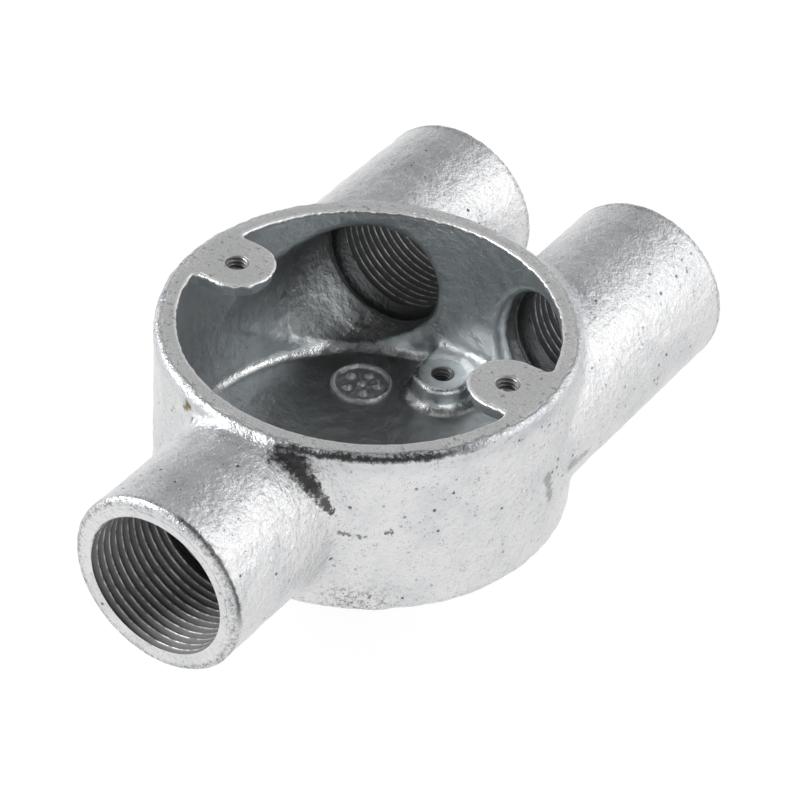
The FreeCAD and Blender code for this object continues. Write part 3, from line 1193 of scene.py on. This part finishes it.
@dataclass
class ThreadSleeve:
    """A cut internal thread, drawn as a thin closed sleeve in its hole.

    Attributes:
        name: the piece's name.
        origin: a point on the axis at the open end, mm.
        inward: unit direction into the hole.
        side: unit direction across, for the start of the turns.
        root_r, crest_r, skin_r: radius of the grooves, the crests and the hidden back, mm.
        pitch, length: mm for a turn and mm of thread.
        chamfer, relief: width of the lead-in and length of the undercut at the inner end, mm.
        columns: points in a turn.
        seed: chooses the wear.
        tail: (distance from the open end, radius) of what follows the thread.
    """

    name: str
    origin: Array
    inward: Array
    side: Array
    root_r: float
    crest_r: float
    pitch: float
    length: float
    skin_r: float
    chamfer: float
    relief: float
    columns: int
    seed: int
    tail: Sequence[Pair] = ()

    def placed(self, along: Array, radius: Array, turn: Array) -> Array:
        """Points at a distance along the axis, a radius and an angle."""
        up = np.cross(self.inward, self.side)
        around = np.cos(turn)[..., None] * self.side + np.sin(turn)[..., None] * up
        return (self.origin + along[..., None] * self.inward + radius[..., None] * around).reshape(-1, 3)

    def helix(self) -> tuple[Array, Array, Array]:
        """The thread: its V profile of one pitch carried along the helix, cut off flat at both ends.

        Returns:
            Points, triangles and the crest mark of each point.
        """
        wear_period, wear_reach = 2.2, 9.0
        turns = int(math.ceil(self.length / self.pitch)) + 1
        turn = np.arange(turns * self.columns + 1)[:, None] * (2 * math.pi / self.columns)
        phase = np.array(PHASES)[None, :]
        along = np.clip(self.pitch * (turn / (2 * math.pi) + phase - 1), 0, self.length)
        slope = np.clip((np.abs(phase - 0.5) - CREST_HALF) / FLANK, 0, 1)
        round_axis = np.broadcast_arrays(np.cos(turn) * wear_reach, np.sin(turn) * wear_reach, along)
        wear = np.abs(lumps(np.stack(round_axis, axis=-1).reshape(-1, 3), wear_period, self.seed))
        crest = self.crest_r + (self.root_r - self.crest_r) * slope
        crest = crest + (1 - slope) * CREST_WEAR * wear.reshape(along.shape) * self.pitch
        mouth = self.crest_r + self.chamfer
        end = self.root_r - np.maximum(self.length - along - self.relief * 0.5, 0) * RUN_OUT
        radius = np.maximum.reduce([crest, mouth - along * LEAD_IN, end])
        radius = np.minimum(radius, mouth + along * LEAD_FACE)
        height = (self.root_r - radius) / (self.root_r - self.crest_r)
        mark = np.clip(1.0 - slope * 6.0, 0, 1) * np.clip(height * 1.6 - 0.3, 0, 1)
        points = self.placed(along, radius, np.broadcast_to(turn % (2 * math.pi), along.shape))
        return points, triangles(grid_faces(*along.shape))[:, ::-1], mark.ravel()

    def shell(self) -> tuple[Array, Array]:
        """The plain rest of the sleeve: its tail, hidden back and front ring, turned about the axis.

        Returns:
            Points and triangles.
        """
        profile = [(self.length, self.root_r), *self.tail]
        profile += [(profile[-1][0], self.skin_r), (0.0, self.skin_r), (0.0, self.crest_r + self.chamfer)]
        along, radius = np.array(profile).T
        turn = np.arange(self.columns) * (2 * math.pi / self.columns)
        grid = np.broadcast_arrays(along[:, None], radius[:, None], turn[None, :])
        return self.placed(*grid), triangles(grid_faces(len(profile), self.columns, close_columns=True))

    def build(self, thread: Material, iron: Material) -> bpy.types.Object:
        """Make the sleeve.

        Args:
            thread: finish of the thread.
            iron: finish of the casting, for the sleeve's front ring and tail.

        Returns:
            The object.
        """
        near = 1e-3
        points, faces, mark = self.helix()
        more, shell_faces = self.shell()
        faces = np.concatenate([faces, shell_faces + len(points)])
        joined, faces, number = weld(np.concatenate([points, more]), faces)
        faces = outward(joined, faces)
        depth = (joined[faces] - self.origin) @ self.inward
        smooth = (depth.max(axis=1) < near) | (depth.min(axis=1) > self.length - near)
        made = new_object(self.name, joined, faces, [thread, iron], sharp=50, finish=smooth)
        crest = np.zeros(len(joined))
        np.maximum.at(crest, number[:len(mark)], mark)
        attribute = made.data.attributes.new("crest", "FLOAT", "POINT")
        attribute.data.foreach_set("value", crest.astype(np.float32))
        return dressed(made)


def conduit_sleeve(spout: Spout) -> ThreadSleeve:
    """The M25 x 1.5 thread of a spout, with the rounded bush at its inner end.

    Args:
        spout: the spout.

    Returns:
        The sleeve.
    """
    way = float(spout.way.value)
    length, land_end, land_r = 17.5, 19.4, 11.0
    lip_length, lip_rise = 2.2, 0.62
    lip = [
        (land_end + lip_length * math.sin(turn), land_r + lip_rise * (1 - math.cos(turn)))
        for turn in np.linspace(0.2, math.pi / 2, 9)
    ]
    return ThreadSleeve(
        name=f"thread_{spout.name}",
        origin=np.array([spout.x, way * (spout.reach - 0.005), spout.z]),
        inward=np.array([0.0, -way, 0.0]),
        side=np.array([1.0, 0.0, 0.0]),
        root_r=spout.thread_r, crest_r=11.7, skin_r=13.15,
        pitch=1.5, length=length, chamfer=0.2, relief=1.0,
        columns=220, seed=20 + int(spout.x),
        tail=[(length, land_r), (land_end, land_r), *lip],
    )


def screw_sleeve(name: str, x: float, y: float, top: float, length: float) -> ThreadSleeve:
    """An M4 thread, a little below the top of a hole that opens upwards.

    Args:
        name: the piece's name.
        x, y: the hole's axis, mm.
        top: height of the hole's top, mm.
        length: mm of thread.

    Returns:
        The sleeve.
    """
    return ThreadSleeve(
        name=name,
        origin=np.array([x, y, top - 0.15]),
        inward=np.array([0.0, 0.0, -1.0]),
        side=np.array([1.0, 0.0, 0.0]),
        root_r=1.97, crest_r=1.62, skin_r=2.3,
        pitch=0.7, length=length, chamfer=0.3, relief=0.0,
        columns=48, seed=3,
    )


@dataclass
class RimBurr:
    """The uneven zinc bead along the rim's inner edge and about the lugs.

    Attributes:
        casting: the casting, for its sizes.
        bead_r: radius of the bead, mm.
        swell: how far its radius wanders, as a share, and the least and most that it comes to.
        step: spacing of its sections, mm.
        sides: points in a section.
    """

    casting: Casting
    bead_r: float = 0.44
    swell: Triple = (0.55, 0.6, 1.4)
    step: float = 0.16
    sides: int = 12

    def arc(self, centre: Pair, radius: float, first: float, last: float) -> Array:
        """Points along an arc from one angle in radians to another."""
        count = max(int(abs(last - first) * radius / self.step), 2)
        turn = np.linspace(first, last, count, endpoint=False)
        return np.stack([centre[0] + radius * np.cos(turn), centre[1] + radius * np.sin(turn)], axis=1)

    def line(self, start: Array, end: Array) -> Array:
        """Points along a straight stretch."""
        count = max(int(np.linalg.norm(end - start) / self.step), 2)
        return start + (end - start) * np.linspace(0, 1, count, endpoint=False)[:, None]

    def quarter(self) -> Array:
        """The edge from a lug's tip to the back of the chamber: nose, side, root and wall.

        Returns:
            (n, 2) places.
        """
        lug_x, lug_r, root_r = self.casting.lug_x, self.casting.lug_r, self.casting.lug_root
        inner_r, half = self.casting.inner_r, lug_r + root_r
        root = (math.sqrt((inner_r - root_r) ** 2 - half ** 2), half)
        lean = math.atan2(root[1], root[0])
        nose = self.arc((lug_x, 0.0), lug_r, math.pi, math.pi / 2)
        side = self.line(np.array([lug_x, lug_r]), np.array([root[0], lug_r]))
        fillet = self.arc(root, root_r, -math.pi / 2, lean)
        wall = self.arc((0.0, 0.0), inner_r, lean, math.pi / 2)
        return np.concatenate([nose, side, fillet, wall])

    def build(self, material: Material) -> bpy.types.Object:
        """Carry a small round section along the edge; its radius and place wander with the relief.

        Args:
            material: its finish.

        Returns:
            The object.
        """
        shy, in_line = 0.01, 1e-3
        first = self.quarter()
        back = np.concatenate([first, first[::-1] * (-1, 1)])
        path = np.concatenate([back, back[::-1] * (1, -1)])
        path = path[np.linalg.norm(path - np.roll(path, 1, axis=0), axis=1) > in_line]
        ahead = np.roll(path, -1, axis=0) - np.roll(path, 1, axis=0)
        ahead /= np.linalg.norm(ahead, axis=1, keepdims=True)
        across = np.stack([ahead[:, 1], -ahead[:, 0]], axis=1)
        top = self.casting.drum_h
        places = np.concatenate([path, np.full((len(path), 1), top)], axis=1)
        uneven = lumps(places, 1.1, 41) + 0.6 * lumps(places, 0.45, 42)
        wander = 0.1 * lumps(places, 2.4, 43) - 0.12
        share, least, most = self.swell
        size = (self.bead_r * np.clip(1.0 + share * uneven, least, most))[:, None]
        turn = np.linspace(0, 2 * math.pi, self.sides, endpoint=False)[None, :]
        flat = path[:, None, :] + (np.cos(turn) * size + wander[:, None])[..., None] * across[:, None, :]
        height = top - shy - size + np.sin(turn) * size
        points = np.concatenate([flat, height[..., None]], axis=2).reshape(-1, 3)
        faces = triangles(grid_faces(len(path), self.sides, close_rows=True, close_columns=True))
        return dressed(new_object("rim_burr", points, outward(points, faces), [material]))


@dataclass
class CastingPad:
    """Round raised pad on the floor with a border and plain pips; sizes are in mm.

    Attributes:
        floor: height of the chamber's floor.
        x, y: its middle, to the right and to the back.
        radius: outer radius.
        border, border_r: height and half width of the border.
        disc, disc_edge: height of the disc, and how far it stays within the outer radius.
        pips, pip_turn, pip_away: number of pips about the middle one, where the first lies in
            radians, and their distance from the middle.
        pip, middle_pip: height and radius of a pip and of the middle one.
        root: depth of its underside below the floor.
        rings, columns: points from the middle to the edge and in a turn.
    """

    floor: float
    x: float = -11.6
    y: float = 16.8
    radius: float = 5.3
    border: float = 0.8
    border_r: float = 0.55
    disc: float = 0.25
    disc_edge: float = 0.4
    pips: int = 5
    pip_turn: float = 0.4
    pip_away: float = 2.55
    pip: Pair = (0.75, 0.85)
    middle_pip: Pair = (0.7, 0.8)
    root: float = 0.6
    rings: int = 44
    columns: int = 160

    @staticmethod
    def cap(away: Array, height: float, radius: float) -> Array:
        """Height of a round cap at a distance from its middle."""
        return height * np.sqrt(np.clip(1 - (away / radius) ** 2, 0, 1))

    def relief(self, x: Array, y: Array, radius: Array) -> Array:
        """Height at each place: that of the disc, the border's bead or a pip, whichever is higher,
        and the cast skin's unevenness.

        Args:
            x: to the right of the middle.
            y: behind the middle.
            radius: from the middle.

        Returns:
            Height above the floor.
        """
        height = np.where(radius < self.radius - self.disc_edge, self.disc, 0)
        border = self.cap(radius - self.radius + self.border_r, self.border, self.border_r)
        height = np.maximum(height, border)
        for index in range(self.pips):
            about = 2 * math.pi * index / self.pips + self.pip_turn
            away = np.hypot(x - self.pip_away * math.cos(about), y - self.pip_away * math.sin(about))
            height = np.maximum(height, self.cap(away, *self.pip))
        height = np.maximum(height, self.cap(radius, *self.middle_pip))
        place = np.stack([x + self.x, y + self.y, height], axis=-1).reshape(-1, 3)
        uneven = lumps(place, 0.9, 51) * 0.16 + lumps(place, 0.4, 52) * 0.06
        return height + uneven.reshape(height.shape) * np.clip((self.radius - radius) / 0.3, 0, 1)

    def build(self, material: Material) -> bpy.types.Object:
        """Make the pad: the relief on top, a flat underside in the floor and a wall between.

        Args:
            material: its finish.

        Returns:
            The object.
        """
        turn = np.arange(self.columns) * (2 * math.pi / self.columns)
        out = np.linspace(0.0, self.radius, self.rings)
        radius, angle = np.broadcast_arrays(out[:, None], turn[None, :])
        x, y = radius * np.cos(angle), radius * np.sin(angle)
        top = np.stack([x + self.x, y + self.y, self.relief(x, y, radius) + self.floor], axis=-1)
        under = top.copy()
        under[..., 2] = self.floor - self.root
        sheet = grid_faces(self.rings, self.columns, close_columns=True)
        count = self.rings * self.columns
        edge = np.arange(self.columns) + count - self.columns
        following = np.roll(edge, -1)
        wall = np.stack([edge, edge + count, following + count, following], axis=1)
        points = np.concatenate([top.reshape(-1, 3), under.reshape(-1, 3)])
        faces = triangles(np.concatenate([sheet[:, ::-1], sheet + count, wall]))
        points, faces, _ = weld(points, faces)
        return dressed(new_object("floor_pad", points, outward(points, faces), [material], sharp=60))


# ---- studio


@dataclass(frozen=True)
class Patch:
    """A bright or dark part of the studio's surroundings.

    Attributes:
        direction: where its middle is, seen from the object.
        inner, outer: degrees from its middle to where it starts to fade and to its end.
        strength: brightness, 1 being white.
    """

    direction: Triple
    inner: float
    outer: float
    strength: float

    def share(self, graph: Graph, way: Socket) -> Signal:
        """1 where a direction lies within the patch, fading to 0 over its soft edge."""
        toward = tuple(Vector(self.direction).normalized())
        cosines = (math.cos(math.radians(angle)) for angle in (self.outer, self.inner))
        return graph.step(graph.measure("DOT_PRODUCT", in0=way, in1=toward), *cosines)


@dataclass(frozen=True)
class Lamp:
    """A square soft lamp.

    Attributes:
        name: its name.
        direction: where it stands, seen from the object.
        size: edge length in metres.
        power: watts.
        distance: metres from the object.
    """

    name: str
    direction: Triple
    size: float
    power: float
    distance: float = 0.6

    def build(self) -> None:
        """Put it in the scene, facing the object."""
        data = bpy.data.lights.new(self.name, "AREA")
        data.shape = "SQUARE"
        data.size = self.size
        data.energy = self.power
        made = bpy.data.objects.new(self.name, data)
        away = Vector(self.direction).normalized()
        made.location = away * self.distance
        made.rotation_euler = away.to_track_quat("Z", "Y").to_euler()
        bpy.context.scene.collection.objects.link(made)


@dataclass(frozen=True)
class Studio:
    """Pale floor, soft light and the camera.

    Attributes:
        azimuth: camera bearing from the front towards the right, degrees.
        elevation, roll: the camera's, degrees.
        distance, target: mm from the point looked at, and that point.
        lens, sensor: focal length and width of the sensor, mm.
        horizon, high: brightness of the surroundings near the floor and overhead.
        climb: height of a unit direction over which the one turns into the other.
        patches: the soft boxes and the dark ceiling and back.
        lamps: the lamps.
        floor_reach, floor_z: half width and height of the floor, just clear of the base, mm.
        floor_grey: the floor's colour.
        floor_glow: how much of the floor is its own white for the eye, metal and glass.
        floor_white: brightness of that white in metal, and what the camera adds to it.
    """

    azimuth: float = 31.56
    elevation: float = 38.22
    roll: float = 3.74
    distance: float = 541.66
    target: Triple = (6.41, -0.01, 18.62)
    lens: float = 155.89
    sensor: float = 36.0
    horizon: float = 1.0
    high: float = 0.46
    climb: Pair = (0.15, 0.6)
    patches: tuple[Patch, ...] = (
        Patch((0.62, 0.6, 0.46), 24.0, 44.0, 1.05),
        Patch((-0.45, 0.66, 0.6), 10.0, 34.0, 0.31),
        Patch((-0.72, -0.45, 0.5), 12.0, 28.0, 1.9),
        Patch((0.22, -0.42, 0.88), 18.0, 42.0, 0.12),
    )
    lamps: tuple[Lamp, ...] = (
        Lamp("back_right", (0.62, 0.62, 0.55), 0.4, 0.25),
        Lamp("front_left", (-0.7, -0.5, 0.6), 0.22, 1.4),
        Lamp("right", (0.7, 0.2, 0.7), 0.16, 0.25),
    )
    floor_reach: float = 6000.0
    floor_z: float = -0.05
    floor_grey: Triple = (0.86, 0.86, 0.86)
    floor_glow: float = 0.82
    floor_white: Pair = (0.96, 0.15)

    def camera(self) -> None:
        """Make the scene's camera."""
        azimuth, elevation, roll = (math.radians(a) for a in (self.azimuth, self.elevation, self.roll))
        right = Vector((math.cos(azimuth), math.sin(azimuth), 0))
        back = Vector((math.sin(azimuth), -math.cos(azimuth), 0)) * math.cos(elevation)
        back.z = math.sin(elevation)
        up = back.cross(right)
        across = math.cos(roll) * right + math.sin(roll) * up
        rise = -math.sin(roll) * right + math.cos(roll) * up
        data = bpy.data.cameras.new("camera")
        data.lens = self.lens
        data.sensor_width = self.sensor
        data.clip_start = 0.01
        made = bpy.data.objects.new("camera", data)
        place = (Vector(self.target) + back * self.distance) * MM
        made.matrix_world = Matrix.Translation(place) @ Matrix((across, rise, back)).transposed().to_4x4()
        bpy.context.scene.collection.objects.link(made)
        bpy.context.scene.camera = made

    def floor(self) -> None:
        """Make the pale floor, which shows white and keeps the object's shadow."""
        material, graph = new_material("studio_floor")
        path = graph.node("ShaderNodeLightPath").outputs
        rays = ("Is Camera Ray", "Is Glossy Ray", "Is Transmission Ray")
        seen = largest([Signal(graph, path[ray]) for ray in rays])
        white, added = self.floor_white
        brightness = Signal(graph, path["Is Camera Ray"]) * added + white
        plain = graph.node("ShaderNodeBsdfDiffuse", Color=self.floor_grey)
        glow = graph.node("ShaderNodeEmission", Color=(1.0, 1.0, 1.0), Strength=brightness)
        share = seen * self.floor_glow
        mixed = graph.node("ShaderNodeMixShader", in0=share, in1=plain.outputs[0], in2=glow.outputs[0])
        graph.node("ShaderNodeOutputMaterial", Surface=mixed.outputs[0])
        signs = ((-1, -1), (1, -1), (1, 1), (-1, 1))
        corners = np.array([[a * self.floor_reach, b * self.floor_reach, self.floor_z] for a, b in signs])
        made = new_object("studio_floor", corners, np.arange(4)[None, :], [material])

    def sky(self) -> None:
        """White surroundings for the eye; for the metal they darken overhead and hold the patches."""
        world = bpy.data.worlds.new("studio")
        world.use_nodes = True
        bpy.context.scene.world = world
        graph = Graph(world.node_tree)
        seen = Signal(graph, graph.node("ShaderNodeLightPath").outputs["Is Camera Ray"])
        way = graph.node("ShaderNodeTexCoord").outputs["Generated"]
        height = Signal(graph, graph.node("ShaderNodeSeparateXYZ", Vector=way).outputs[2])
        glow = self.horizon - graph.step(height, *self.climb) * (self.horizon - self.high)
        for patch in self.patches:
            glow = glow + patch.share(graph, way) * (patch.strength - glow)
        strength = seen + (1.0 - seen) * glow
        background = graph.node("ShaderNodeBackground", Color=(1.0, 1.0, 1.0), Strength=strength)
        graph.node("ShaderNodeOutputWorld", Surface=background.outputs[0])

    def build(self) -> None:
        """Set up the camera, floor, lamps and surroundings."""
        self.camera()
        self.floor()
        self.sky()
        for lamp in self.lamps:
            lamp.build()
        bpy.context.scene.view_settings.view_transform = "Standard"


def main() -> None:
    """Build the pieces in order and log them."""
    logging.basicConfig(level=logging.INFO, format="%(name)s %(message)s")
    Studio().build()
    spouts = read_spouts()
    passages = tuple(spouts)
    iron = GalvanisedIron(passages).build()
    thread = CutThread().build()
    # The bead's finish is a lighter copy of the casting's: a painted highlight on the bead
    bead = {"grey": (0.9, 0.9, 0.9), "milled": (0.86, 0.86, 0.86), "chamber": (0.95, 0.95, 0.95)}
    bead_painted_highlight = GalvanisedIron(passages, "zinc_bead", stains=(), **bead).build()
    # The pad's finish is a lighter copy with less floor shade: painted light on the raised pad
    pad = {"chamber": (0.85, 0.87, 0.875), "deep": 0.36}
    pad_painted_light = GalvanisedIron(passages, "raised_pad", stains=(), **pad).build()

    casting = Casting(spouts)
    lug_depth, boss_depth = 2.4, 4.6
    sleeves = [conduit_sleeve(spout) for spout in spouts]
    for name, x in (("left", -casting.lug_x), ("right", casting.lug_x)):
        sleeves.append(screw_sleeve(f"cover_thread_{name}", x, 0.0, casting.drum_h, lug_depth))
    sleeves.append(screw_sleeve("earth_thread", 0.0, casting.earth_y, casting.boss_top, boss_depth))
    pieces = [casting.build(iron)]
    pieces += [sleeve.build(thread, iron) for sleeve in sleeves]
    pieces += [RimBurr(casting).build(bead_painted_highlight), CastingPad(casting.floor).build(pad_painted_light)]
    for piece in pieces:
        LOG.info("%s: %d points, %d faces", piece.name, len(piece.data.vertices), len(piece.data.polygons))


if __name__ == "__main__":
    main()
